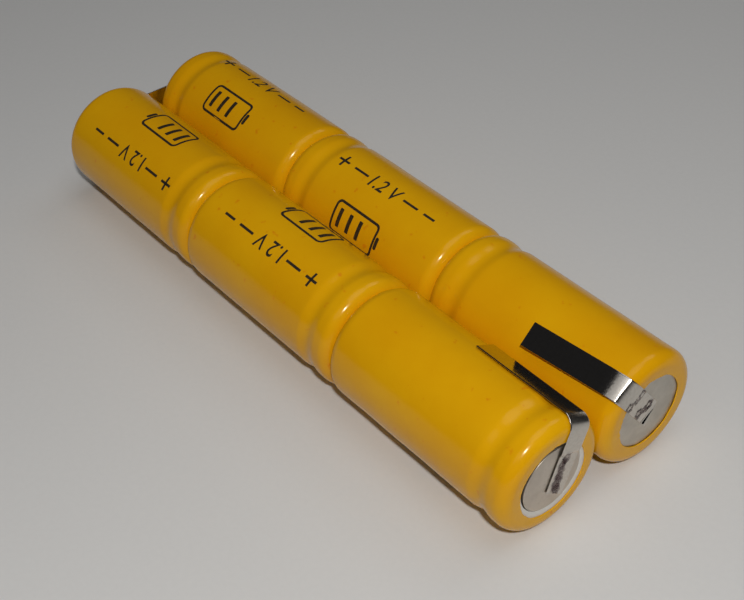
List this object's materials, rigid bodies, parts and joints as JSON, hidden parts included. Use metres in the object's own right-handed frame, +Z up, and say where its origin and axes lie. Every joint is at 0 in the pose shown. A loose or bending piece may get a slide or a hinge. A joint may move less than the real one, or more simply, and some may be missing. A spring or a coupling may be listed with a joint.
{
  "type": "cylindrical battery cell pack",
  "caption": "Rechargeable pack of yellow-sleeved cylindrical cells, welded end to end in two glued sticks, with two folded nickel solder tabs at one end.",
  "frame": {"origin": "on the plane that the pack lies on, below the middle of its length and width", "axes": "+X along the sticks towards the two solder tabs, +Y from the stick with the positive tab to the stick with the negative tab, +Z up"},
  "size_m": [0.0852, 0.0288, 0.0142],
  "materials": {
    "sleeve_plastic": "glossy heat-shrink film, orange yellow",
    "can_steel": "dull nickel plating",
    "cap_steel": "dull nickel plating",
    "cover_steel": "nickel plating",
    "washer_paper": "white fibre board",
    "gasket_nylon": "natural nylon",
    "plug_rubber": "matte black",
    "electrode_roll": "matte sintered electrode and separator",
    "nickel_strip": "rolled bright nickel",
    "adhesive": "translucent hot-melt"
  },
  "bodies": {
    "root": {"front_far_sleeve": "sleeve_plastic", "front_far_can": "can_steel", "front_far_electrode_roll": "electrode_roll", "front_far_gasket": "gasket_nylon", "front_far_cover_plate": "cover_steel", "front_far_terminal_cap": "cap_steel", "front_far_insulating_washer": "washer_paper", "front_middle_sleeve": "sleeve_plastic", "front_middle_can": "can_steel", "front_middle_electrode_roll": "electrode_roll", "front_middle_gasket": "gasket_nylon", "front_middle_cover_plate": "cover_steel", "front_middle_terminal_cap": "cap_steel", "front_middle_insulating_washer": "washer_paper", "front_near_sleeve": "sleeve_plastic", "front_near_can": "can_steel", "front_near_electrode_roll": "electrode_roll", "front_near_gasket": "gasket_nylon", "front_near_cover_plate": "cover_steel", "front_near_terminal_cap": "cap_steel", "front_near_insulating_washer": "washer_paper", "back_far_sleeve": "sleeve_plastic", "back_far_can": "can_steel", "back_far_electrode_roll": "electrode_roll", "back_far_gasket": "gasket_nylon", "back_far_cover_plate": "cover_steel", "back_far_terminal_cap": "cap_steel", "back_far_insulating_washer": "washer_paper", "back_middle_sleeve": "sleeve_plastic", "back_middle_can": "can_steel", "back_middle_electrode_roll": "electrode_roll", "back_middle_gasket": "gasket_nylon", "back_middle_cover_plate": "cover_steel", "back_middle_terminal_cap": "cap_steel", "back_middle_insulating_washer": "washer_paper", "back_near_sleeve": "sleeve_plastic", "back_near_can": "can_steel", "back_near_electrode_roll": "electrode_roll", "back_near_gasket": "gasket_nylon", "back_near_cover_plate": "cover_steel", "back_near_terminal_cap": "cap_steel", "back_near_insulating_washer": "washer_paper", "front_far_cell_link": "nickel_strip", "front_middle_cell_link": "nickel_strip", "back_near_cell_link": "nickel_strip", "back_middle_cell_link": "nickel_strip", "far_end_link": "nickel_strip", "positive_tab_foot": "nickel_strip", "negative_tab_foot": "nickel_strip", "far_adhesive": "adhesive", "middle_adhesive": "adhesive", "near_adhesive": "adhesive"},
    "positive_tab_leg": {"positive_tab_leg": "nickel_strip"},
    "negative_tab_leg": {"negative_tab_leg": "nickel_strip"},
    "front_far_vent_plug": {"front_far_vent_plug": "plug_rubber"},
    "front_middle_vent_plug": {"front_middle_vent_plug": "plug_rubber"},
    "front_near_vent_plug": {"front_near_vent_plug": "plug_rubber"},
    "back_far_vent_plug": {"back_far_vent_plug": "plug_rubber"},
    "back_middle_vent_plug": {"back_middle_vent_plug": "plug_rubber"},
    "back_near_vent_plug": {"back_near_vent_plug": "plug_rubber"}
  },
  "joints": [
    {"name": "positive_tab_bend", "type": "hinge", "parent": "root", "child": "positive_tab_leg", "pos_m": [0.04215, -0.00382, 0.01315], "axis": [0, 0.8829, -0.4695], "range_deg": [0, 90]},
    {"name": "negative_tab_bend", "type": "hinge", "parent": "root", "child": "negative_tab_leg", "pos_m": [0.04234, 0.00274, 0.01262], "axis": [0, 0.788, 0.6157], "range_deg": [0, 80]},
    {"name": "front_far_vent", "type": "slide", "parent": "root", "child": "front_far_vent_plug", "axis": [1, 0, 0], "range_m": [0, 0.00025], "stiffness_N_per_m": 10000},
    {"name": "front_middle_vent", "type": "slide", "parent": "root", "child": "front_middle_vent_plug", "axis": [1, 0, 0], "range_m": [0, 0.00025], "stiffness_N_per_m": 10000},
    {"name": "front_near_vent", "type": "slide", "parent": "root", "child": "front_near_vent_plug", "axis": [1, 0, 0], "range_m": [0, 0.00025], "stiffness_N_per_m": 10000},
    {"name": "back_far_vent", "type": "slide", "parent": "root", "child": "back_far_vent_plug", "axis": [-1, 0, 0], "range_m": [0, 0.00025], "stiffness_N_per_m": 10000},
    {"name": "back_middle_vent", "type": "slide", "parent": "root", "child": "back_middle_vent_plug", "axis": [-1, 0, 0], "range_m": [0, 0.00025], "stiffness_N_per_m": 10000},
    {"name": "back_near_vent", "type": "slide", "parent": "root", "child": "back_near_vent_plug", "axis": [-1, 0, 0], "range_m": [0, 0.00025], "stiffness_N_per_m": 10000}
  ]
}
